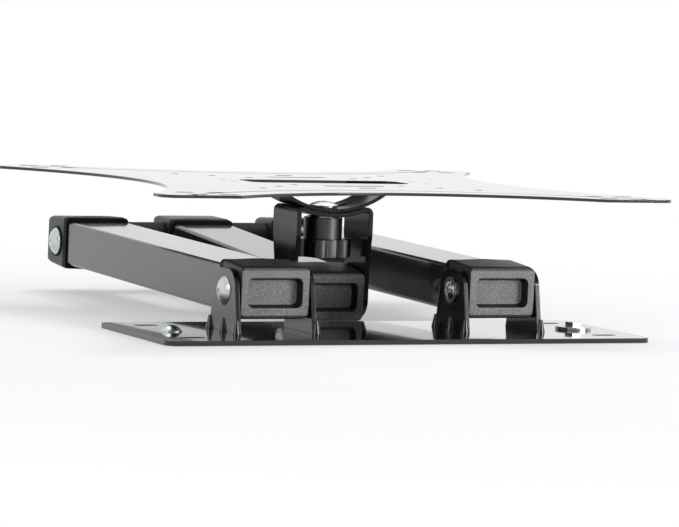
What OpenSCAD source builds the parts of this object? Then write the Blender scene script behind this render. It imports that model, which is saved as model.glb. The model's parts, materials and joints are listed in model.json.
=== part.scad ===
// Swivel TV wall mount: two outer arms, one middle arm and a tilting screen plate.
// The frame's origin is the middle of the wall plate's back face, and +Z points away from the wall.
// All hinge axes run along X, which is vertical once the mount is on a wall.

/* [Wall plate] */
// Length of the wall plate along the hinge axes
wall_plate_len = 440; // [420:1:520]
// Width of the wall plate
wall_plate_w = 160; // [150:1:220]
// Thickness of the wall plate
wall_plate_t = 4; // [2.5:0.5:5]
// Corner radius of the wall plate
wall_plate_r = 10; // [4:1:20]
// Distance of each wall bolt from the middle of the plate
wall_bolt_x = 186; // [172:1:190]
// Diameter of the bolt holes and width of the corner slots
wall_hole_d = 9; // [7:0.5:10]
// Length of each corner slot
corner_slot_len = 22; // [14:1:26]
// Distance of the corner slots from the middle along the plate
corner_slot_x = 188; // [170:1:192]
// Distance of the corner slots from the middle across the plate
corner_slot_y = 52; // [45:1:60]

/* [Wall bolts] */
// Diameter of the round bolt head on the left
pan_head_d = 18.5; // [16:0.5:24]
// Height of the round bolt head
pan_head_h = 5.5; // [4:0.5:8]
// Diameter of the large washer on the right
big_washer_d = 31; // [24:1:36]
// Thickness of the large washer
big_washer_t = 2.5; // [2:0.5:5]
// Width across flats of the hexagon head
hex_head_af = 13; // [12:0.5:18]
// Height of the hexagon head
hex_head_h = 4; // [3:0.5:7]
// Gap left round a bolt in its hole
bolt_clear = 0.5; // [0.3:0.1:0.7]

/* [Brackets] */
// Thickness of the bracket steel
bracket_t = 4; // [3:0.5:4.5]
// Distance of each wall bracket from the middle, along the hinge axes
bracket_x = 104.25; // [95:0.25:115]
// Offset of the wall hinge from the middle of the plate
hinge_y = 0; // [-10:1:10]
// Height of the wall hinge above the wall plate
hinge_h = 33.9; // [33.4:0.1:40]
// Width of a wall bracket's ear at its foot
ear_foot_w = 60; // [54:1:66]
// Height of a wall bracket's ear above the hinge
ear_top = 18.5; // [17.5:0.1:20]
// Width of the flat on top of a wall bracket's ear
ear_top_flat = 14; // [8:1:18]
// Radius of the upper corners of a wall bracket's ear
ear_r = 16; // [14:0.5:17]
// Height of the weld beads at the feet of the ears
weld_h = 11; // [8:0.5:13]
// Radius of the weld beads on the wall plate
weld_r = 3.6; // [2.5:0.1:3.6]
// Radius of the weld beads at their upper end
weld_top_r = 1.4; // [1:0.1:1.6]

/* [Arms] */
// Width of the arm tubes along the hinge axes
tube_w = 58; // [50:1:62]
// Height of the arm tubes
tube_h = 39.5; // [36:0.5:40]
// Wall of the arm tubes
tube_wall = 2; // [1.5:0.1:2.5]
// Corner radius of the arm tubes
tube_r = 3; // [2.6:0.2:5]
// Length of the outer arms, from wall hinge to elbow
outer_arm_len = 420; // [380:1:460]
// Angle of the outer arms above the wall plate at rest
outer_arm_rise = 1.2; // [1:0.1:2]
// Distance of the folded head's hinge beyond the wall plate's edge
head_beyond = 38; // [32:1:60]
// Angle of the middle arm down towards the wall plate at rest
middle_arm_drop = 4.15; // [3.05:0.1:4.25]

/* [End caps] */
// Thickness of an end cap's side walls
cap_wall = 1.5; // [1.3:0.1:2.5]
// Thickness of an end cap above and below the tube, at its open end
cap_wall_h = 4.2; // [4:0.1:4.4]
// How far an end cap's open end rises further in its middle
cap_crown = 0.9; // [0.5:0.1:1.2]
// How far an end cap slopes in above and below, from its open end to the curved front edge
cap_slope = 2; // [1.5:0.1:2.4]
// Length of the curved front edge
cap_edge_len = 6; // [4:0.5:7]
// How far the curved front edge comes in above and below
cap_edge_h = 3.3; // [2:0.1:4]
// How far the curved front edge comes in at the sides
cap_edge_w = 0.3; // [0.2:0.1:2]
// Length of an end cap and its collar on each side of the pin
cap_half_len = 24; // [22:0.5:27]
// Corner radius of the cap and its collar
cap_r = 4; // [3.6:0.2:6]
// Corner radius of the closed face
cap_face_r = 1.6; // [1:0.2:2]
// Length of the black collar at the cap's open end
collar_len = 7; // [5:0.5:9]
// Thickness of the collar above and below the tube
collar_wall_h = 3.75; // [3:0.05:3.9]
// Width of the frame at each side of the recess in the closed face
frame_w = 5.7; // [4:0.1:8]
// Width of the frame above and below the recess in the closed face
frame_h = 6.2; // [5:0.1:8]
// Corner radius of the recess
recess_r = 5; // [3:0.5:6]
// Depth of the recess in the closed face
recess_depth = 8; // [3:0.5:9]
// How much the walls of the recess lean in
recess_lean = 2.2; // [1:0.1:3]
// Thickness of the cap's closed wall
cap_floor = 3; // [2:0.5:4]
// Gap between a tube and its cap
cap_clear = 0.15; // [0.1:0.05:0.3]

/* [Hinge pins] */
// Diameter of all hinge pins
pin_d = 12; // [10:0.5:13]
// Running gap between a pin and its bush, on the radius
pin_clear = 0.08; // [0.05:0.01:0.1]
// Diameter of the domed pin heads
pin_head_d = 25; // [20:0.5:28]
// Height of the domed pin heads
pin_head_h = 5.5; // [4:0.5:7]
// Diameter of the dimple in a pin head
dimple_d = 4; // [2:0.5:6]
// Depth of the dimple in a pin head
dimple_depth = 0.8; // [0.4:0.1:1.5]
// Diameter of the washer under a pin's swaged tail
tail_washer_d = 22; // [20:0.5:24]
// Thickness of the washer under a pin's swaged tail
tail_washer_t = 1.5; // [1:0.1:2]
// Diameter of a pin's swaged tail
tail_d = 16; // [15:0.5:18]
// Height of a pin's swaged tail
tail_h = 3; // [2:0.5:4]
// Outer diameter of the nylon bushes
bush_d = 16; // [15:0.5:18]
// Diameter of the bush flanges
bush_flange_d = 28; // [22:0.5:32]
// Thickness of the bush flanges
bush_flange_t = 1.2; // [0.8:0.1:1.5]
// Gap between a bush flange and what it runs on
side_clear = 0.1; // [0.05:0.05:0.2]
// Gap between a bush and its hole, on the radius
bush_clear = 0.05; // [0.03:0.01:0.1]
// Outer diameter of the elbow's spacer tubes
spacer_d = 36; // [30:0.5:38]

/* [Tilt head] */
// Height of the saddle's top above the head's hinge
saddle_h = 71.4; // [70:0.1:75]
// Radius of the saddle, about the tilt axis
tilt_radius = 85; // [82:1:90]
// Width of the saddle across the arms
saddle_w = 52; // [48:1:56]
// Outer radius of the bends between the saddle and the head's ears
bend_r = 6; // [5:0.5:6.5]
// Width of the head's ears at the hinge
head_ear_w = 43; // [42:0.5:44]
// Radius of the corners at the end of the head's ears
head_ear_r = 18; // [17.5:0.5:18.5]
// Distance of the head's ear ends below the hinge
head_ear_end = 21.3; // [20.5:0.1:21.5]
// Thickness of the tilt strap
strap_t = 3; // [2.5:0.5:3.5]
// Width of the tilt strap
strap_w = 48; // [44:1:50]
// Largest tilt that the strap's slot allows for, each way
tilt_room = 16; // [15.5:0.5:18]
// Distance of the strap's rivets from the middle
strap_rivet_x = 90; // [86:1:96]
// Spacing of the strap's rivets across the strap
strap_rivet_pitch = 28; // [22:1:32]
// Gap between the sliding faces of saddle, strap and pad
slide_clear = 0.3; // [0.2:0.05:0.3]

/* [Tilt clamp] */
// Diameter of the clamp bolt
clamp_bolt_d = 8; // [6:0.5:8]
// Diameter of the clamp bolt's domed head
clamp_head_d = 25.5; // [20:0.5:28]
// Height of the clamp bolt's domed head
clamp_head_h = 3.6; // [3:0.1:6]
// Thickness of the curved pad under the bolt head, at its middle
pad_t = 1.8; // [1.6:0.1:3]
// Thickness of the washer on top of the knob
knob_washer_t = 1; // [0.8:0.1:2]
// Diameter of the washer on top of the knob
knob_washer_d = 28; // [20:0.5:30]
// Diameter of the knob's hub
knob_hub_d = 33.5; // [31:0.5:38]
// Height of the knob's hub
knob_hub_h = 18.6; // [14:0.1:19]
// Diameter over the lobes of the knob's wheel
knob_wheel_d = 53; // [50:0.5:60]
// Height of the knob's wheel
knob_wheel_h = 15.5; // [10:0.5:16]
// Number of lobes on the knob's wheel
knob_lobes = 6; // [5:1:8]
// Diameter of each lobe
knob_lobe_d = 13; // [10:0.5:14]
// Width across flats of the nut in the knob
knob_nut_af = 13; // [12:0.5:14]
// Height of the nut in the knob
knob_nut_h = 6.5; // [5:0.5:8]

/* [Screen plate] */
// Length of the screen plate along the hinge axes
tv_plate_len = 464; // [450:1:480]
// Width of the screen plate
tv_plate_w = 420; // [416:1:440]
// Thickness of the screen plate
tv_plate_t = 2.5; // [2:0.5:3]
// Height of the screen plate's middle above the head's hinge
tv_plate_h = 95.6; // [95:0.1:97]
// Depth of the hollow in each short side
side_hollow = 64; // [50:1:70]
// Chord of the hollow in each short side
side_hollow_chord = 372; // [350:1:380]
// Depth of the hollow in each long side
long_hollow = 60; // [50:1:64]
// Chord of the hollow in each long side
long_hollow_chord = 330; // [300:1:340]
// Corner radius of the screen plate
tv_corner_r = 14; // [8:1:16]
// Length of the opening in the middle of the screen plate
tv_opening_len = 150; // [130:1:156]
// Width of the opening in the middle of the screen plate
tv_opening_w = 44; // [36:1:50]
// Corner radius of that opening
tv_opening_r = 12; // [6:1:16]
// Small screen hole pitch
vesa_small = 100; // [100:1:100]
// Middle screen hole pitch
vesa_middle = 150; // [150:1:150]
// Large screen hole pitch
vesa_large = 200; // [200:1:200]
// Largest screen hole pitch, at the slots in the corners
vesa_corner = 400; // [400:1:400]
// Diameter of the screen holes and width of the slots
vesa_hole_d = 7; // [6:0.5:8]
// Length of the short slots
vesa_slot_len = 17; // [12:1:18]
// Distance between the two slots in each corner, along and across
corner_slot_pitch = 28; // [24:1:30]
// Distance of the middle slots from the plate's middle
long_slot_y = 62; // [56:1:66]
// Length of the middle slots
long_slot_len = 57; // [40:1:60]
// Depth of the two pressed lines
line_depth = 0.8; // [0.4:0.1:1]
// Width of the two pressed lines
line_w = 3; // [2:0.5:4]
// Distance of the pressed lines from the edge
line_offset = 28; // [20:1:30]

/* [Hidden] */

$fn = 96;
cut = 1;
full = 360;
half_turn = 180;
quarter_turn = 90;
nearly = 0.95;

// Length of the middle arm, so that the folded head lies beside the wall plate
middle_arm_len = hinge_y + outer_arm_len - wall_plate_w / 2 - head_beyond;

// Places of the three hinges
hinge_z = wall_plate_t + hinge_h;
elbow_y = hinge_y + outer_arm_len * cos(outer_arm_rise);
elbow_z = hinge_z + outer_arm_len * sin(outer_arm_rise);
head_y = elbow_y - middle_arm_len * cos(middle_arm_drop);
head_z = elbow_z - middle_arm_len * sin(middle_arm_drop);

// Fits round the hinges
bush_bore_d = pin_d + 2 * pin_clear;
bush_hole_d = bush_d + 2 * bush_clear;
cap_w = tube_w + 2 * cap_wall;
bush_len = cap_wall + tube_wall + bush_flange_t;
ear_gap = cap_w + 2 * (bush_flange_t + side_clear);
bracket_w = ear_gap + 2 * bracket_t;
tube_over = cap_half_len - cap_floor - recess_depth;
open_w = tube_w + 2 * cap_clear;
open_h = tube_h + 2 * cap_clear;
cap_slab_t = 0.5;
cap_h = tube_h + 2 * cap_wall_h;
cap_shoulder_h = cap_h - 2 * cap_slope;
cap_front_h = cap_shoulder_h - 2 * cap_edge_h;
cap_front_w = cap_w - 2 * cap_edge_w;
crown_w = cap_w * 0.6;
crown_r = crown_w * 0.4;
collar_h = tube_h + 2 * collar_wall_h;
recess_w = cap_front_w - 2 * frame_w;
recess_h = cap_front_h - 2 * frame_h;
collar_start = cap_half_len - collar_len;
edge_start = cap_edge_len - cap_half_len;
edge_middle = cap_edge_len / 3 - cap_half_len;
edge_middle_h = cap_front_h + (cap_shoulder_h - cap_front_h) * 0.6;
spacer_len = bracket_x - cap_w - 2 * (bush_flange_t + side_clear);
elbow_half = bracket_x + cap_w / 2 + bush_flange_t + side_clear;

// Tilt head, measured from the head's hinge
tilt_axis_z = saddle_h + tilt_radius;
strap_outer_r = tilt_radius - slide_clear;
strap_inner_r = strap_outer_r - strap_t;
tv_bottom = tv_plate_h - tv_plate_t / 2;
flange_low = tilt_axis_z - tv_bottom;
flange_x = sqrt(strap_inner_r * strap_inner_r - flange_low * flange_low);
strap_end_angle = atan2(flange_x, flange_low);
strap_rivet_edge = 12;
strap_half_len = strap_rivet_x + strap_rivet_edge;
strap_rivet_d = 6;
strap_rivet_head_d = 12;
strap_rivet_head_h = 2.4;
strap_rivet_sink = 0.1;
strap_slot_w = clamp_bolt_d + 2 * bolt_clear;
strap_slot_half = tilt_radius * sin(tilt_room) + strap_slot_w / 2;
pad_d = clamp_head_d - 1.5;
pad_inner_r = strap_inner_r - slide_clear;
pad_low_z = tilt_axis_z - pad_inner_r;
pad_top_z = pad_low_z + pad_t;
saddle_low_z = saddle_h - bracket_t;
knob_gap = 0.1;
knob_washer_top = saddle_low_z - knob_gap;
knob_top = knob_washer_top - knob_washer_t - knob_gap;
wheel_top = knob_top - knob_hub_h;
clamp_bolt_low = wheel_top - 3;
knob_bore_low = wheel_top - 5;
knob_nut_clear = 0.1;
knob_bore_d = clamp_bolt_d + 1;
ear_waist_z = 30;
ear_flare_z = 52;
bend_meet = 0.05;
bend_x = bracket_w / 2 - bend_r + bend_meet;
bend_reach = tilt_radius + bend_r - bend_meet;
bend_drop = sqrt(bend_reach * bend_reach - bend_x * bend_x);
weld_y = ear_foot_w / 2 - weld_top_r;

// Screen plate, about its own middle
side_r = hollow_radius(side_hollow, side_hollow_chord);
long_r = hollow_radius(long_hollow, long_hollow_chord);
rivet_hole_d = strap_rivet_d + 0.2;

// Radius of a hollow from its depth and its chord
function hollow_radius(depth, chord) = (chord * chord / 4 + depth * depth) / (2 * depth);

// Side of a hexagon's round blank from its width across flats
function hex_d(af) = af / cos(full / 12);

// Where a line from a point meets a circle about the origin, just short of touching it
function meet(px, py, r) =
    let (a = atan2(py, px) + acos(r / norm([px, py])) * nearly)
    [r * cos(a), r * sin(a)];

// A rectangle with true round corners
module round_rect(w, h, r) {
    square([w - 2 * r, h], center = true);
    square([w, h - 2 * r], center = true);
    for (sx = [-1, 1], sy = [-1, 1])
        translate([sx * (w / 2 - r), sy * (h / 2 - r)])
            circle(r = r);
}

// A slot along the first axis, centred
module slot(len, w) {
    square([len - w, w], center = true);
    for (sx = [-1, 1])
        translate([sx * (len - w) / 2, 0])
            circle(d = w);
}

// A cylinder along X, centred
module rod_x(d, len) {
    rotate([0, quarter_turn, 0])
        cylinder(d = d, h = len, center = true);
}

// A spherical dome on the plane z = 0, with a dimple
module dome(d, h, hole_d, hole_depth) {
    r = (d * d / 4 + h * h) / (2 * h);
    difference() {
        intersection() {
            translate([0, 0, h - r])
                sphere(r = r);
            cylinder(d = d, h = h);
        }
        if (hole_d > 0)
            translate([0, 0, h - hole_depth])
                cylinder(d = hole_d, h = hole_depth + cut);
    }
}

// Wall plate with bolt holes on its middle line and slots in its corners
module wall_plate_shape() {
    linear_extrude(wall_plate_t)
        difference() {
            round_rect(wall_plate_len, wall_plate_w, wall_plate_r);
            for (sx = [-1, 1]) {
                translate([sx * wall_bolt_x, 0])
                    circle(d = wall_hole_d);
                for (sy = [-1, 1])
                    translate([sx * corner_slot_x, sy * corner_slot_y])
                        slot(corner_slot_len, wall_hole_d);
            }
        }
}

// The side view of a wall bracket's ear, about the hinge
module wall_ear_shape() {
    side = ear_top_flat / 2;
    rise = ear_top - ear_r;
    foot = ear_foot_w / 2;
    t = meet(foot - side, -hinge_h - rise, ear_r);
    for (s = [-1, 1])
        translate([s * side, rise])
            circle(r = ear_r);
    polygon([
        [-foot, -hinge_h - cut],
        [foot, -hinge_h - cut],
        [foot, -hinge_h],
        [side + t[0], rise + t[1]],
        [side, ear_top],
        [-side, ear_top],
        [-side - t[0], rise + t[1]],
        [-foot, -hinge_h]
    ]);
}

// The two ears of a wall bracket with their weld beads, with the hinge axis through the origin
module wall_bracket() {
    difference() {
        for (sx = [-1, 1]) {
            translate([sx * (bracket_w - bracket_t) / 2, 0, 0])
                rotate([quarter_turn, 0, quarter_turn])
                    linear_extrude(bracket_t, center = true)
                        wall_ear_shape();
            for (y = [-weld_y, 0, weld_y])
                translate([sx * bracket_w / 2, y, -hinge_h])
                    cylinder(r1 = weld_r, r2 = weld_top_r, h = weld_h);
        }
        translate([0, 0, -hinge_h - bracket_w])
            cube(2 * bracket_w, center = true);
        rod_x(bush_bore_d, bracket_w + 2 * cut);
    }
}

// Riveted pin along X: dome at +X, swaged tail beyond a washer at -X
module riveted_pin(w) {
    rod_x(pin_d, w);
    translate([w / 2, 0, 0])
        rotate([0, quarter_turn, 0])
            dome(pin_head_d, pin_head_h, dimple_d, dimple_depth);
    translate([-w / 2 - tail_washer_t, 0, 0])
        rotate([0, -quarter_turn, 0]) {
            translate([0, 0, -tail_washer_t])
                cylinder(d = pin_d, h = tail_washer_t);
            dome(tail_d, tail_h, dimple_d, dimple_depth);
        }
}

// Washer under a pin's swaged tail
module tail_washer(w) {
    translate([-w / 2 - tail_washer_t / 2, 0, 0])
        difference() {
            rod_x(tail_washer_d, tail_washer_t);
            rod_x(bush_bore_d, tail_washer_t + cut);
        }
}

// Arm tube from pin to pin, along +Y
module arm_tube(len) {
    difference() {
        translate([0, -tube_over, 0])
            rotate([-quarter_turn, 0, 0])
                linear_extrude(len + 2 * tube_over)
                    difference() {
                        round_rect(tube_w, tube_h, tube_r);
                        round_rect(tube_w - 2 * tube_wall, tube_h - 2 * tube_wall, tube_r - tube_wall);
                    }
        for (y = [0, len])
            translate([0, y, 0])
                rod_x(bush_hole_d, tube_w + cut);
    }
}

// A thin slice of an end cap, from y towards the closed face
module cap_slab(y, w, h, r) {
    translate([0, y, 0])
        rotate([quarter_turn, 0, 0])
            linear_extrude(cap_slab_t)
                round_rect(w, h, r, $fn = 32);
}

// End cap about its pin, open towards +Y
module end_cap() {
    difference() {
        hull() {
            cap_slab(collar_start, cap_w, cap_h, cap_r);
            cap_slab(collar_start, crown_w, cap_h + 2 * cap_crown, crown_r);
            cap_slab(edge_start, cap_w, cap_shoulder_h, cap_r);
            cap_slab(edge_middle, (cap_w + cap_front_w) / 2, edge_middle_h, (cap_r + cap_face_r) / 2);
            cap_slab(cap_slab_t - cap_half_len, cap_front_w, cap_front_h, cap_face_r);
        }
        translate([0, -tube_over, 0])
            rotate([-quarter_turn, 0, 0])
                linear_extrude(cap_half_len + tube_over + cut)
                    round_rect(open_w, open_h, tube_r);
        hull() {
            cap_slab(-cap_half_len, recess_w, recess_h, recess_r);
            cap_slab(
                recess_depth - cap_half_len,
                recess_w - 2 * recess_lean, recess_h - 2 * recess_lean, recess_r - recess_lean / 2
            );
        }
        rod_x(bush_hole_d, cap_w + 2 * cut);
    }
}

// Black collar on the tube, against the cap's open end
module cap_collar() {
    translate([0, cap_half_len, 0])
        rotate([quarter_turn, 0, 0])
            linear_extrude(collar_len)
                difference() {
                    round_rect(cap_w, collar_h, cap_r);
                    round_rect(open_w, open_h, tube_r);
                }
}

// Flanged bush in the side of an arm, its flange at +X
module bush() {
    translate([cap_w / 2, 0, 0])
        rotate([0, -quarter_turn, 0])
            difference() {
                union() {
                    translate([0, 0, -bush_flange_t])
                        cylinder(d = bush_flange_d, h = bush_flange_t);
                    cylinder(d = bush_d, h = bush_len - bush_flange_t);
                }
                translate([0, 0, -bush_flange_t - cut])
                    cylinder(d = bush_bore_d, h = bush_len + 2 * cut);
            }
}

// The two bushes of one arm end
module bush_pair() {
    for (turn = [0, half_turn])
        rotate([0, 0, turn])
            bush();
}

// Places what belongs to an outer arm, which starts at the wall hinge
module outer_arm_place(sx) {
    translate([sx * bracket_x, hinge_y, hinge_z])
        rotate([outer_arm_rise, 0, 0])
            children();
}

// Places what belongs to the middle arm, which starts at the head and runs to the elbow
module middle_arm_place() {
    translate([0, head_y, head_z])
        rotate([middle_arm_drop, 0, 0])
            children();
}

// Places what belongs to the head
module head_place() {
    translate([0, head_y, head_z])
        children();
}

// The side view of the head bracket's ears, about the hinge
module head_ear_shape() {
    side = head_ear_w / 2;
    low = head_ear_end - head_ear_r;
    top = tilt_axis_z;
    for (s = [-1, 1])
        translate([s * (side - head_ear_r), -low])
            circle(r = head_ear_r);
    translate([-(side - head_ear_r), -head_ear_end])
        square([2 * (side - head_ear_r), head_ear_end]);
    polygon([
        [-side, -low],
        [side, -low],
        [side, ear_waist_z],
        [saddle_w / 2, ear_flare_z],
        [saddle_w / 2, top],
        [-saddle_w / 2, top],
        [-saddle_w / 2, ear_flare_z],
        [-side, ear_waist_z]
    ]);
}

// The front view of the head bracket: two ears joined by a hollow saddle
module head_section() {
    difference() {
        translate([-bracket_w / 2, -head_ear_end])
            square([bracket_w, head_ear_end + tilt_axis_z]);
        translate([0, tilt_axis_z])
            circle(r = tilt_radius, $fn = 192);
        difference() {
            translate([-ear_gap / 2, -head_ear_end - cut])
                square([ear_gap, head_ear_end + cut + tilt_axis_z]);
            translate([0, tilt_axis_z])
                circle(r = tilt_radius + bracket_t, $fn = 192);
        }
        translate([-bracket_w, tilt_axis_z - tilt_radius / 2])
            square([2 * bracket_w, tilt_radius]);
        for (s = [0, 1])
            mirror([s, 0])
                shoulder_cut();
    }
}

// What the bend takes off the corner between the saddle and an ear
module shoulder_cut() {
    turn = atan2(bend_drop, -bend_x);
    translate([bend_x, tilt_axis_z - bend_drop])
        difference() {
            polygon([
                [0, 0],
                [3 * bend_r, 0],
                [3 * bend_r, 3 * bend_r],
                [3 * bend_r * cos(turn), 3 * bend_r * sin(turn)]
            ]);
            circle(r = bend_r);
        }
}

// Bent tilt strap, its arc about the tilt axis
module strap_section() {
    intersection() {
        difference() {
            circle(r = strap_outer_r, $fn = 192);
            circle(r = strap_inner_r, $fn = 192);
        }
        polygon([
            [0, 0],
            [-2 * tilt_radius * sin(strap_end_angle), -2 * tilt_radius * cos(strap_end_angle)],
            [2 * tilt_radius * sin(strap_end_angle), -2 * tilt_radius * cos(strap_end_angle)]
        ]);
    }
    for (s = [-1, 1])
        translate([s * (flange_x + strap_half_len) / 2, -flange_low - strap_t / 2])
            square([strap_half_len - flange_x, strap_t], center = true);
}

// Outline of the screen plate with its four hollow sides
module tv_outline() {
    difference() {
        round_rect(tv_plate_len, tv_plate_w, tv_corner_r);
        for (s = [-1, 1]) {
            translate([s * (tv_plate_len / 2 - side_hollow + side_r), 0])
                circle(r = side_r, $fn = 256);
            translate([0, s * (tv_plate_w / 2 - long_hollow + long_r)])
                circle(r = long_r, $fn = 256);
        }
    }
}

// A square of four holes or slots at a pitch
module four_at(pitch_x, pitch_y) {
    for (sx = [-1, 1], sy = [-1, 1])
        translate([sx * pitch_x / 2, sy * pitch_y / 2])
            children();
}

// Every hole in the screen plate
module tv_holes() {
    for (pitch = [vesa_small, vesa_middle, vesa_large])
        four_at(pitch, pitch)
            circle(d = vesa_hole_d);
    four_at(vesa_corner, vesa_corner)
        slot(vesa_slot_len, vesa_hole_d);
    four_at(vesa_corner - 2 * corner_slot_pitch, vesa_corner)
        slot(vesa_slot_len, vesa_hole_d);
    four_at(vesa_corner, vesa_corner - 2 * corner_slot_pitch)
        slot(vesa_slot_len, vesa_hole_d);
    four_at(vesa_corner - 2 * corner_slot_pitch, vesa_corner - 2 * corner_slot_pitch)
        slot(vesa_slot_len, vesa_hole_d);
    for (sy = [-1, 1]) {
        translate([0, sy * long_slot_y])
            slot(long_slot_len, vesa_hole_d);
        translate([0, sy * (long_slot_y + corner_slot_pitch)])
            slot(vesa_slot_len, vesa_hole_d);
    }
    round_rect(tv_opening_len, tv_opening_w, tv_opening_r);
    for (sx = [-1, 1], sy = [-1, 1])
        translate([sx * strap_rivet_x, sy * strap_rivet_pitch / 2])
            circle(d = rivet_hole_d);
}

module wall_plate() {
    color("#17181b")
        wall_plate_shape();
}

module wall_bracket_left() {
    color("#17181b")
        translate([-bracket_x, hinge_y, hinge_z])
            wall_bracket();
}

module wall_bracket_right() {
    color("#17181b")
        translate([bracket_x, hinge_y, hinge_z])
            wall_bracket();
}

module wall_pins() {
    color("#c3cbc9")
        for (sx = [-1, 1])
            translate([sx * bracket_x, hinge_y, hinge_z])
                rotate([0, 0, sx > 0 ? 0 : half_turn])
                    riveted_pin(bracket_w);
}

module wall_pin_washers() {
    color("#c3cbc9")
        for (sx = [-1, 1])
            translate([sx * bracket_x, hinge_y, hinge_z])
                rotate([0, 0, sx > 0 ? 0 : half_turn])
                    tail_washer(bracket_w);
}

module wall_bolt_left() {
    color("#c3cbc9")
        translate([-wall_bolt_x, 0, 0]) {
            cylinder(d = wall_hole_d - 2 * bolt_clear, h = wall_plate_t);
            translate([0, 0, wall_plate_t])
                dome(pan_head_d, pan_head_h, 0, 0);
        }
}

module wall_bolt_right() {
    color("#c3cbc9")
        translate([wall_bolt_x, 0, 0]) {
            cylinder(d = wall_hole_d - 2 * bolt_clear, h = wall_plate_t + big_washer_t);
            translate([0, 0, wall_plate_t + big_washer_t])
                cylinder(d = hex_d(hex_head_af), h = hex_head_h, $fn = 6);
        }
}

module wall_bolt_washer() {
    color("#c3cbc9")
        translate([wall_bolt_x, 0, wall_plate_t])
            difference() {
                cylinder(d = big_washer_d, h = big_washer_t);
                translate([0, 0, -cut])
                    cylinder(d = wall_hole_d, h = big_washer_t + 2 * cut);
            }
}

module outer_arm_left() {
    color("#4a4b4e")
        outer_arm_place(-1)
            arm_tube(outer_arm_len);
}

module outer_arm_right() {
    color("#4a4b4e")
        outer_arm_place(1)
            arm_tube(outer_arm_len);
}

module wall_cap_left() {
    color("#2b2c2e")
        outer_arm_place(-1)
            end_cap();
}

module wall_cap_right() {
    color("#2b2c2e")
        outer_arm_place(1)
            end_cap();
}

module elbow_cap_left() {
    color("#2b2c2e")
        outer_arm_place(-1)
            translate([0, outer_arm_len, 0])
                rotate([0, 0, half_turn])
                    end_cap();
}

module elbow_cap_right() {
    color("#2b2c2e")
        outer_arm_place(1)
            translate([0, outer_arm_len, 0])
                rotate([0, 0, half_turn])
                    end_cap();
}

module outer_collars() {
    color("#0c0c0d")
        for (sx = [-1, 1])
            outer_arm_place(sx) {
                cap_collar();
                translate([0, outer_arm_len, 0])
                    rotate([0, 0, half_turn])
                        cap_collar();
            }
}

module wall_bushes() {
    color("#3a3b3d")
        for (sx = [-1, 1])
            outer_arm_place(sx)
                bush_pair();
}

module elbow_shaft() {
    color("#c3cbc9")
        translate([0, elbow_y, elbow_z]) {
            rod_x(pin_d, 2 * elbow_half);
            for (turn = [0, half_turn])
                rotate([0, 0, turn])
                    translate([elbow_half, 0, 0])
                        rotate([0, quarter_turn, 0])
                            dome(pin_head_d, pin_head_h, dimple_d, dimple_depth);
        }
}

module elbow_spacers() {
    color("#2b2c2e")
        for (sx = [-1, 1])
            translate([sx * bracket_x / 2, elbow_y, elbow_z])
                difference() {
                    rod_x(spacer_d, spacer_len);
                    rod_x(bush_bore_d, spacer_len + cut);
                }
}

module outer_elbow_bushes() {
    color("#3a3b3d")
        for (sx = [-1, 1])
            outer_arm_place(sx)
                translate([0, outer_arm_len, 0])
                    bush_pair();
}

module middle_arm() {
    color("#4a4b4e")
        middle_arm_place()
            arm_tube(middle_arm_len);
}

module elbow_cap_middle() {
    color("#2b2c2e")
        middle_arm_place()
            translate([0, middle_arm_len, 0])
                rotate([0, 0, half_turn])
                    end_cap();
}

module head_cap() {
    color("#2b2c2e")
        middle_arm_place()
            end_cap();
}

module middle_collars() {
    color("#0c0c0d")
        middle_arm_place() {
            cap_collar();
            translate([0, middle_arm_len, 0])
                rotate([0, 0, half_turn])
                    cap_collar();
        }
}

module middle_elbow_bushes() {
    color("#3a3b3d")
        middle_arm_place()
            translate([0, middle_arm_len, 0])
                bush_pair();
}

module head_bushes() {
    color("#3a3b3d")
        middle_arm_place()
            bush_pair();
}

module head_bracket() {
    color("#1d1e20")
        head_place()
            difference() {
                intersection() {
                    rotate([quarter_turn, 0, 0])
                        linear_extrude(saddle_w, center = true)
                            head_section();
                    rotate([quarter_turn, 0, quarter_turn])
                        linear_extrude(bracket_w, center = true)
                            head_ear_shape();
                }
                rod_x(bush_bore_d, bracket_w + 2 * cut);
                translate([0, 0, saddle_low_z - cut])
                    cylinder(d = clamp_bolt_d + 2 * bolt_clear, h = bracket_t + 2 * cut);
            }
}

module head_pin() {
    color("#c3cbc9")
        head_place()
            riveted_pin(bracket_w);
}

module head_pin_washer() {
    color("#c3cbc9")
        head_place()
            tail_washer(bracket_w);
}

module clamp_bolt() {
    color("#c3cbc9")
        head_place() {
            translate([0, 0, pad_top_z])
                dome(clamp_head_d, clamp_head_h, 0, 0);
            translate([0, 0, clamp_bolt_low])
                cylinder(d = clamp_bolt_d, h = pad_top_z - clamp_bolt_low);
        }
}

module clamp_pad() {
    color("#c3cbc9")
        head_place()
            difference() {
                translate([0, 0, pad_low_z - cut])
                    cylinder(d = pad_d, h = pad_t + cut);
                difference() {
                    translate([0, 0, tilt_axis_z - tilt_radius])
                        cube([2 * pad_d, 2 * pad_d, 2 * tilt_radius], center = true);
                    translate([0, 0, tilt_axis_z])
                        rotate([quarter_turn, 0, 0])
                            cylinder(r = pad_inner_r, h = 3 * pad_d, center = true, $fn = 192);
                }
                translate([0, 0, pad_low_z - 2 * cut])
                    cylinder(d = clamp_bolt_d + 2 * bolt_clear, h = pad_t + 4 * cut);
            }
}

module knob_washer() {
    color("#c3cbc9")
        head_place()
            translate([0, 0, knob_washer_top - knob_washer_t])
                difference() {
                    cylinder(d = knob_washer_d, h = knob_washer_t);
                    translate([0, 0, -cut])
                        cylinder(d = clamp_bolt_d + 2 * bolt_clear, h = knob_washer_t + 2 * cut);
                }
}

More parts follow.
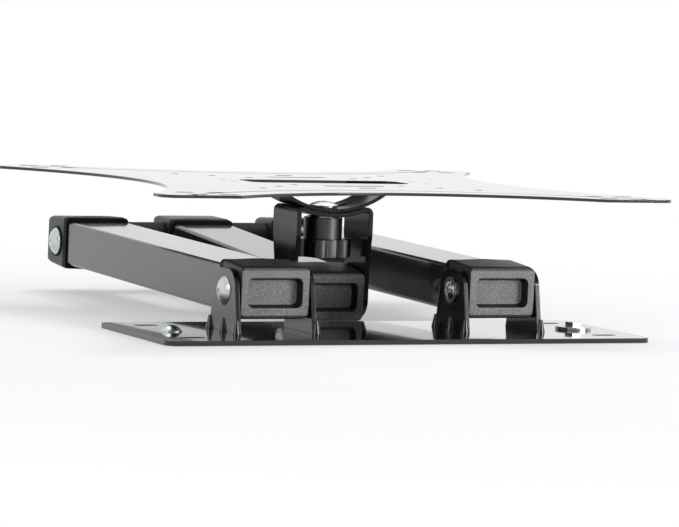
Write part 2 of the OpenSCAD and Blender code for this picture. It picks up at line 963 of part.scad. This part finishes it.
module tilt_knob() {
    ring_r = (knob_wheel_d - knob_lobe_d) / 2;
    color("#1b1c1d")
        head_place()
            difference() {
                union() {
                    translate([0, 0, wheel_top - knob_wheel_h / 2])
                        cylinder(d = knob_hub_d, h = knob_hub_h + knob_wheel_h / 2);
                    translate([0, 0, wheel_top - knob_wheel_h])
                        linear_extrude(knob_wheel_h) {
                            circle(r = ring_r + 1);
                            for (i = [0 : knob_lobes - 1])
                                rotate([0, 0, i * full / knob_lobes])
                                    translate([ring_r, 0])
                                        circle(d = knob_lobe_d);
                        }
                }
                translate([0, 0, knob_top - knob_nut_h])
                    cylinder(d = hex_d(knob_nut_af + 2 * knob_nut_clear), h = knob_nut_h + cut, $fn = 6);
                translate([0, 0, knob_bore_low])
                    cylinder(d = knob_bore_d, h = knob_top - knob_bore_low + cut);
            }
}

module knob_nut() {
    color("#c3cbc9")
        head_place()
            translate([0, 0, knob_top - knob_nut_h])
                difference() {
                    cylinder(d = hex_d(knob_nut_af), h = knob_nut_h, $fn = 6);
                    translate([0, 0, -cut])
                        cylinder(d = clamp_bolt_d + 2 * pin_clear, h = knob_nut_h + 2 * cut);
                }
}

module tilt_strap() {
    color("#1d1e20")
        head_place()
            difference() {
                translate([0, 0, tilt_axis_z])
                    rotate([quarter_turn, 0, 0])
                        linear_extrude(strap_w, center = true)
                            strap_section();
                translate([0, 0, saddle_h - cut])
                    linear_extrude(tilt_radius / 3)
                        slot(2 * strap_slot_half, strap_slot_w);
                for (sx = [-1, 1], sy = [-1, 1])
                    translate([sx * strap_rivet_x, sy * strap_rivet_pitch / 2, tv_bottom - strap_t - cut])
                        cylinder(d = rivet_hole_d, h = strap_t + 2 * cut);
            }
}

module strap_rivets() {
    low = tv_bottom - strap_t;
    color("#c3cbc9")
        head_place()
            for (sx = [-1, 1], sy = [-1, 1])
                translate([sx * strap_rivet_x, sy * strap_rivet_pitch / 2, 0]) {
                    translate([0, 0, low])
                        cylinder(d = strap_rivet_d, h = strap_t + tv_plate_t - strap_rivet_sink);
                    translate([0, 0, low])
                        mirror([0, 0, 1])
                            dome(strap_rivet_head_d, strap_rivet_head_h, 0, 0);
                }
}

module tv_plate() {
    color("#121316")
        head_place()
            translate([0, 0, tv_bottom])
                difference() {
                    linear_extrude(tv_plate_t)
                        difference() {
                            tv_outline();
                            tv_holes();
                        }
                    for (s = [-1, 1])
                        translate([0, s * (tv_plate_w / 2 - long_hollow + long_r), tv_plate_t - line_depth])
                            difference() {
                                cylinder(r = long_r + line_offset + line_w, h = tv_plate_t, $fn = 256);
                                translate([0, 0, -cut])
                                    cylinder(r = long_r + line_offset, h = tv_plate_t + 2 * cut, $fn = 256);
                            }
                }
}

wall_plate();
wall_bracket_left();
wall_bracket_right();
wall_pins();
wall_pin_washers();
wall_bolt_left();
wall_bolt_right();
wall_bolt_washer();
outer_arm_left();
outer_arm_right();
wall_cap_left();
wall_cap_right();
elbow_cap_left();
elbow_cap_right();
outer_collars();
wall_bushes();
elbow_shaft();
elbow_spacers();
outer_elbow_bushes();
middle_arm();
elbow_cap_middle();
head_cap();
middle_collars();
middle_elbow_bushes();
head_bushes();
head_bracket();
head_pin();
head_pin_washer();
clamp_bolt();
clamp_pad();
knob_washer();
tilt_knob();
knob_nut();
tilt_strap();
strap_rivets();
tv_plate();
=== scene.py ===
import json
import math

import bpy
from mathutils import Matrix, Vector

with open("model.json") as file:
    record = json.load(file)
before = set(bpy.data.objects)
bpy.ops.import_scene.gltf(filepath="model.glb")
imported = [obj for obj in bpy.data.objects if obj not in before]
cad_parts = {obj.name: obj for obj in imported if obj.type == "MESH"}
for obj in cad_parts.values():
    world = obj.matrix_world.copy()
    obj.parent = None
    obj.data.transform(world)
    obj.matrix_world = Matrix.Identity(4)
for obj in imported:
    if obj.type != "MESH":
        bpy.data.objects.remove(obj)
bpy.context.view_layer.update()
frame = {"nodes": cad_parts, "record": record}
scene = bpy.context.scene


# Colours, in linear light

def rgb(red, green, blue):
    return (red, green, blue, 1.0)


def grey(level):
    return rgb(level, level, level)


WHITE = grey(1.0)


# Node trees

# The span that most of a noise's values fall in
NOISE_SPAN = (0.3, 0.7)
# The Mix node's inputs for the share and the two colours, and its output for the colour
MIX_INPUTS = (0, 6, 7)
MIX_COLOUR = 2
BEVEL_SAMPLES = 6


class Tree:
    """A node tree with short calls that add nodes and feed their inputs.

    Wherever a call takes a value, it can be a number, a colour or another node's output.
    """

    def __init__(self, tree):
        self.tree = tree
        tree.nodes.clear()
        self.coords = self.add("ShaderNodeTexCoord").outputs

    def put(self, value, socket):
        if isinstance(value, bpy.types.NodeSocket):
            self.tree.links.new(value, socket)
        else:
            socket.default_value = value

    def add(self, kind, settings=None, **inputs):
        """Adds a node; the inputs are named as in Blender, with _ for a space."""
        node = self.tree.nodes.new(kind)
        for name, value in (settings or {}).items():
            setattr(node, name, value)
        for name, value in inputs.items():
            self.put(value, node.inputs[name.replace("_", " ")])
        return node

    def noise(self, scale, detail, rough=0.5, stretch=None):
        """Noise with about scale features to the metre; stretch multiplies that along X, Y and Z."""
        place = self.coords["Object"]
        if stretch:
            place = self.add("ShaderNodeMapping", Vector=place, Scale=stretch).outputs["Vector"]
        node = self.add("ShaderNodeTexNoise", Vector=place, Scale=scale, Detail=detail, Roughness=rough)
        return node.outputs["Fac"]

    def cells(self, scale):
        """Distance to the middle of the nearest cell, with about scale cells to the metre."""
        node = self.add("ShaderNodeTexVoronoi", Vector=self.coords["Object"], Scale=scale)
        return node.outputs["Distance"]

    def fit(self, value, low, high, span=NOISE_SPAN):
        """Maps the span of a value to low and high, and holds it there beyond the span."""
        start, end = span
        node = self.add(
            "ShaderNodeMapRange", Value=value, From_Min=start, From_Max=end, To_Min=low, To_Max=high
        )
        return node.outputs["Result"]

    def calc(self, operation, *values):
        node = self.add("ShaderNodeMath", {"operation": operation})
        for i, value in enumerate(values):
            self.put(value, node.inputs[i])
        return node.outputs["Value"]

    def ramp(self, value, stops):
        """Turns a value into a colour; stops gives the colour at each of two or three values."""
        node = self.add("ShaderNodeValToRGB", Fac=value)
        marks = node.color_ramp.elements
        halfway = 0.5
        while len(marks) < len(stops):
            marks.new(halfway)
        for i, (position, colour) in enumerate(stops.items()):
            marks[i].position = position
            marks[i].color = colour
        return node.outputs["Color"]

    def blend(self, share, first, second):
        """A colour between two; share is how much of the second it has."""
        node = self.add("ShaderNodeMix", {"data_type": "RGBA"})
        for i, value in zip(MIX_INPUTS, (share, first, second)):
            self.put(value, node.inputs[i])
        return node.outputs[MIX_COLOUR]

    def mix(self, share, first, second):
        """A shader between two; share is how much of the second it has."""
        node = self.add("ShaderNodeMixShader")
        for i, value in enumerate((share, first, second)):
            self.put(value, node.inputs[i])
        return node.outputs["Shader"]


class Surface(Tree):
    """The tree of a finish whose edges look rounded; edge is their radius in metres."""

    def __init__(self, name, edge):
        self.material = bpy.data.materials.new(name)
        self.material.use_nodes = True
        super().__init__(self.material.node_tree)
        self.normal = self.add("ShaderNodeBevel", {"samples": BEVEL_SAMPLES}, Radius=edge).outputs["Normal"]

    def bump(self, height, depth, strength):
        """Adds a bump to those before it; depth is in metres."""
        node = self.add(
            "ShaderNodeBump", Height=height, Distance=depth, Strength=strength, Normal=self.normal
        )
        self.normal = node.outputs["Normal"]

    def finish(self, colour, rough, **inputs):
        """Ends the tree in its shader, with further inputs of that by name, and gives the material."""
        shader = self.add(
            "ShaderNodeBsdfPrincipled", Base_Color=colour, Roughness=rough, Normal=self.normal, **inputs
        )
        self.add("ShaderNodeOutputMaterial", Surface=shader.outputs["BSDF"])
        return self.material


# Finishes

def gloss_paint():
    """Deep black gloss coat: mirror-like, with slight orange peel, faint smudges and dust."""
    dust_shade, dust_rough = 0.4, 0.2
    m = Surface("gloss_paint", edge=0.0012)
    cloud = m.noise(scale=14, detail=3, rough=0.55)
    smear = m.noise(scale=38, detail=4, rough=0.6, stretch=(1.0, 0.35, 1.0))
    dust = m.fit(m.noise(scale=2600, detail=1), 0.0, 1.0, span=(0.74, 0.80))
    coat = m.ramp(cloud, {0.3: rgb(0.005, 0.005, 0.006), 0.75: rgb(0.011, 0.011, 0.012)})
    colour = m.blend(m.calc("MULTIPLY", dust, dust_shade), coat, grey(0.10))
    smooth = m.fit(smear, 0.06, 0.13, span=(0.35, 0.7))
    rough = m.calc("ADD", smooth, m.calc("MULTIPLY", dust, dust_rough))
    m.bump(m.noise(scale=300, detail=2), depth=0.00018, strength=0.06)
    return m.finish(colour, rough, Specular_IOR_Level=0.3, Coat_Weight=0.8, Coat_Roughness=0.03)


def satin_paint():
    """Black coat on the arm tubes: a thin clear gloss over a fine grain."""
    m = Surface("satin_paint", edge=0.0008)
    cloud = m.noise(scale=9, detail=4, rough=0.6, stretch=(1.0, 0.4, 1.0))
    mottle = m.noise(scale=480, detail=3, rough=0.75)
    grain = m.noise(scale=1900, detail=2, rough=0.6)
    fine = m.noise(scale=5200, detail=1)
    coat = m.ramp(cloud, {0.25: rgb(0.006, 0.006, 0.007), 0.8: grey(0.012)})
    spark = m.fit(mottle, 0.0, 1.0, span=(0.46, 0.66))
    colour = m.blend(spark, coat, rgb(0.062, 0.062, 0.060))
    rough = m.calc("ADD", m.fit(cloud, 0.24, 0.32), m.fit(grain, -0.04, 0.06))
    m.bump(mottle, depth=0.00012, strength=0.16)
    m.bump(grain, depth=0.00004, strength=0.12)
    m.bump(fine, depth=0.00002, strength=0.1)
    return m.finish(colour, rough, Specular_IOR_Level=0.1, Coat_Weight=0.95, Coat_Roughness=0.08)


def bracket_paint(name, coat):
    """Black coat on the bent sheet parts, with faint rubbed spots; coat is its share of clear gloss."""
    specular_bare, specular_gain = 0.12, 0.3
    m = Surface(name, edge=0.0012)
    cloud = m.noise(scale=24, detail=4, rough=0.6)
    grain = m.noise(scale=1500, detail=2, rough=0.6)
    rub = m.fit(m.noise(scale=160, detail=5, rough=0.7), 0.0, 0.5, span=(0.62, 0.75))
    base = m.ramp(cloud, {0.25: rgb(0.004, 0.004, 0.005), 0.8: grey(0.010)})
    colour = m.blend(rub, base, grey(0.022))
    rough = m.calc("ADD", m.fit(cloud, 0.16, 0.24), m.fit(grain, -0.03, 0.05))
    m.bump(grain, depth=0.00004, strength=0.14)
    specular = specular_bare + specular_gain * coat
    return m.finish(colour, rough, Specular_IOR_Level=specular, Coat_Weight=coat, Coat_Roughness=0.08)


def cap_plastic():
    """Grained plastic of the end caps, grey on the closed face, with painted shade on the flanks and darker
    painted shade on the recess walls.
    """
    # Half the recess's width and height, as shares of the cap's box
    recess_x, recess_z = 0.412, 0.266
    middle = 0.5
    # Share of painted shade on faces that do not face along Y
    flank_shade_depth = 0.88
    m = Surface("cap_plastic", edge=0.0015)
    cloud = m.noise(scale=46, detail=3, rough=0.6)
    fine = m.noise(scale=700, detail=3, rough=0.75)
    base = m.ramp(cloud, {0.3: rgb(0.105, 0.105, 0.103), 0.75: rgb(0.150, 0.150, 0.147)})
    face = m.blend(m.fit(fine, 0.0, 0.7, span=(0.45, 0.70)), base, rgb(0.34, 0.34, 0.335))

    spot = m.add("ShaderNodeSeparateXYZ", Vector=m.coords["Generated"]).outputs
    facing = m.add("ShaderNodeSeparateXYZ", Vector=m.coords["Normal"]).outputs
    off_x = m.calc("ABSOLUTE", m.calc("SUBTRACT", spot["X"], middle))
    off_z = m.calc("ABSOLUTE", m.calc("SUBTRACT", spot["Z"], middle))
    within_x = m.calc("LESS_THAN", off_x, recess_x)
    within_z = m.calc("LESS_THAN", off_z, recess_z)
    recess = m.calc("MULTIPLY", within_x, within_z)
    # Painted shade: faces turned away from Y are darkened towards near black, as if shaded
    flank_shade = m.fit(m.calc("ABSOLUTE", facing["Y"]), 1.0, 0.0, span=(0.70, 0.93))
    colour = m.blend(m.calc("MULTIPLY", flank_shade, flank_shade_depth), face, grey(0.010))
    # Painted shade: inside the recess box, the walls turned away from Y are darkened further to near black
    colour = m.blend(m.calc("MULTIPLY", recess, flank_shade), colour, grey(0.003))

    m.bump(m.cells(scale=1100), depth=0.00010, strength=0.35)
    m.bump(fine, depth=0.00006, strength=0.25)
    return m.finish(colour, m.fit(fine, 0.36, 0.50), Specular_IOR_Level=0.40)


def black_plastic():
    """Matt black plastic of the collars, spacers and bushes."""
    m = Surface("black_plastic", edge=0.0008)
    cloud = m.noise(scale=60, detail=3, rough=0.6)
    grain = m.noise(scale=2700, detail=2, rough=0.6)
    colour = m.ramp(cloud, {0.3: grey(0.003), 0.75: grey(0.008)})
    m.bump(grain, depth=0.00008, strength=0.35)
    return m.finish(colour, m.fit(grain, 0.55, 0.7), Specular_IOR_Level=0.12)


def knob_plastic():
    """Black moulded plastic with a slight sheen and faint flow marks."""
    m = Surface("knob_plastic", edge=0.0014)
    flow = m.noise(scale=90, detail=4, rough=0.6, stretch=(1.0, 1.0, 0.25))
    grain = m.noise(scale=2400, detail=2, rough=0.6)
    colour = m.ramp(flow, {0.3: rgb(0.006, 0.006, 0.007), 0.75: rgb(0.014, 0.014, 0.015)})
    rough = m.calc("ADD", m.fit(flow, 0.32, 0.42), m.fit(grain, -0.02, 0.04))
    m.bump(grain, depth=0.00005, strength=0.25)
    m.bump(flow, depth=0.0002, strength=0.12)
    return m.finish(colour, rough, Specular_IOR_Level=0.8, Coat_Weight=0.6, Coat_Roughness=0.32)


def zinc():
    """Zinc plating with a faint green cast, fine scratches and dull patches."""
    m = Surface("zinc_plate", edge=0.0006)
    patch = m.noise(scale=190, detail=4, rough=0.65)
    scratch = m.noise(scale=700, detail=3, rough=0.6, stretch=(0.3, 1.0, 1.6))
    shades = {0.25: rgb(0.44, 0.49, 0.47), 0.55: rgb(0.58, 0.63, 0.61), 0.85: rgb(0.70, 0.74, 0.72)}
    dull = m.fit(patch, 0.20, 0.34)
    rough = m.calc("ADD", dull, m.fit(scratch, -0.03, 0.06, span=(0.4, 0.7)))
    m.bump(scratch, depth=0.00010, strength=0.25)
    m.bump(patch, depth=0.00018, strength=0.2)
    return m.finish(m.ramp(patch, shades), rough, Metallic=1.0)


FINISH = {
    "gloss_black": gloss_paint(),
    "bracket_black": bracket_paint("bracket_paint", coat=0.6),
    "arm_grey": satin_paint(),
    "cap_grey": cap_plastic(),
    "black_plastic": black_plastic(),
    "knob_black": knob_plastic(),
    "zinc": zinc(),
}
# A shaded copy of the bracket paint, with less clear gloss, for the head bracket and strap: painted shade
# standing in for the shade cast by the screen plate above them
SHADED_HEAD_FINISH = bracket_paint("shaded_head_paint", coat=0.2)
HEAD_NODES = ("head_bracket", "tilt_strap")

for row in frame["record"]["subparts"]:
    piece = frame["nodes"][row["node"]]
    finish = SHADED_HEAD_FINISH if row["node"] in HEAD_NODES else FINISH[row["material_slot"]]
    piece.material_slots[0].material = finish


# Stage: a pale floor that runs out into a white surround

FLOOR_REACH = 9.0
FLOOR_LEVEL = -0.0004
FLOOR_SHADE = rgb(0.80, 0.79, 0.81)
# Share of pure white in the floor near the object and far off, and the radii between which it rises
NEAR_GLOW, FAR_GLOW = 0.44, 1.0
GLOW_RADII = (0.42, 0.95)
# Strength of the white surround as light, and as it is mirrored from the front
AMBIENT = 0.50
FRONT_GLOSS = 0.30
# Y of a direction, from where the mirrored surround is at its darkest to where it is white
FRONT_TO_BACK = (-0.45, 0.15)


def floor_material():
    """A matt floor that camera, glossy and transmission rays see lifted to white away from the object."""
    material = bpy.data.materials.new("floor")
    material.use_nodes = True
    m = Tree(material.node_tree)
    rays = m.add("ShaderNodeLightPath").outputs
    seen = m.calc("MAXIMUM", rays["Is Camera Ray"], rays["Is Glossy Ray"])
    seen = m.calc("MAXIMUM", seen, rays["Is Transmission Ray"])
    radius = m.add("ShaderNodeVectorMath", {"operation": "LENGTH"}, Vector=m.coords["Object"])
    glow = m.fit(radius.outputs["Value"], NEAR_GLOW, FAR_GLOW, span=GLOW_RADII)
    matt = m.add("ShaderNodeBsdfDiffuse", Color=FLOOR_SHADE).outputs["BSDF"]
    white = m.add("ShaderNodeEmission", Color=WHITE).outputs["Emission"]
    m.add("ShaderNodeOutputMaterial", Surface=m.mix(m.calc("MULTIPLY", seen, glow), matt, white))
    return material


def add_floor():
    signs = ((-1, -1), (1, -1), (1, 1), (-1, 1))
    corners = [(x * FLOOR_REACH, y * FLOOR_REACH, FLOOR_LEVEL) for x, y in signs]
    mesh = bpy.data.meshes.new("floor")
    mesh.from_pydata(corners, [], [(0, 1, 2, 3)])
    mesh.materials.append(floor_material())
    floor = bpy.data.objects.new("floor", mesh)
    scene.collection.objects.link(floor)


def add_world():
    """A white surround that lights softly, and that gloss mirrors darker towards the front."""
    world = bpy.data.worlds.new("studio")
    world.use_nodes = True
    m = Tree(world.node_tree)
    rays = m.add("ShaderNodeLightPath").outputs
    direction = m.add("ShaderNodeSeparateXYZ", Vector=m.coords["Generated"]).outputs
    mirrored = m.fit(direction["Y"], FRONT_GLOSS, 1.0, span=FRONT_TO_BACK)
    ambient, mirror, white = (
        m.add("ShaderNodeBackground", Color=WHITE, Strength=strength).outputs["Background"]
        for strength in (AMBIENT, mirrored, 1.0)
    )
    surround = m.mix(rays["Is Glossy Ray"], ambient, mirror)
    surround = m.mix(rays["Is Transmission Ray"], surround, white)
    surround = m.mix(rays["Is Camera Ray"], surround, white)
    m.add("ShaderNodeOutputWorld", Surface=surround)
    scene.world = world


add_floor()
add_world()


# Lights, all aimed at the folded mount

AIM = Vector((0.0, 0.1, 0.08))


def softbox(name, place, size, energy):
    """A rectangular lamp; size is its width and height in metres, energy is in watts."""
    lamp = bpy.data.lights.new(name, "AREA")
    lamp.shape = "RECTANGLE"
    lamp.size, lamp.size_y = size
    lamp.energy = energy
    holder = bpy.data.objects.new(name, lamp)
    holder.location = place
    holder.rotation_mode = "QUATERNION"
    holder.rotation_quaternion = (AIM - Vector(place)).to_track_quat("-Z", "Y")
    scene.collection.objects.link(holder)


softbox("key", place=(2.05, -2.4, 0.72), size=(1.0, 1.4), energy=80.0)
softbox("left", place=(-2.6, -1.0, 1.1), size=(1.2, 1.2), energy=18.0)
softbox("top", place=(0.2, 0.6, 2.6), size=(2.4, 2.4), energy=24.0)
softbox("rim", place=(1.2, 0.95, 2.4), size=(0.9, 0.9), energy=20.0)


# Camera at the photograph's angle

CAMERA_PLACE = Vector((-1.32729, -2.85188, 0.29061))
# The camera looks along +Y, turned towards +X, tipped down, and rolled about its own line of sight
YAW, PITCH, ROLL = math.radians(24.35), math.radians(4.21), math.radians(2.05)
# Focal length and width of the photograph, both in its pixels
FOCAL_PIXELS, PHOTO_PIXELS = 3756.2, 679.0
SENSOR_MM = 36.0
CLIP_START, CLIP_END = 0.05, 50.0


def add_camera():
    forward = Vector((math.sin(YAW) * math.cos(PITCH), math.cos(YAW) * math.cos(PITCH), -math.sin(PITCH)))
    side = Vector((math.cos(YAW), -math.sin(YAW), 0.0))
    up = side.cross(forward)
    rolled_side = math.cos(ROLL) * side + math.sin(ROLL) * up
    rolled_up = -math.sin(ROLL) * side + math.cos(ROLL) * up
    lens = bpy.data.cameras.new("camera")
    lens.sensor_fit = "HORIZONTAL"
    lens.sensor_width = SENSOR_MM
    lens.lens = SENSOR_MM * FOCAL_PIXELS / PHOTO_PIXELS
    lens.clip_start, lens.clip_end = CLIP_START, CLIP_END
    camera = bpy.data.objects.new("camera", lens)
    turn = Matrix((rolled_side, rolled_up, -forward)).transposed().to_4x4()
    camera.matrix_world = Matrix.Translation(CAMERA_PLACE) @ turn
    scene.collection.objects.link(camera)
    scene.camera = camera


add_camera()
scene.view_settings.view_transform = "Standard"

bpy.context.view_layer.update()
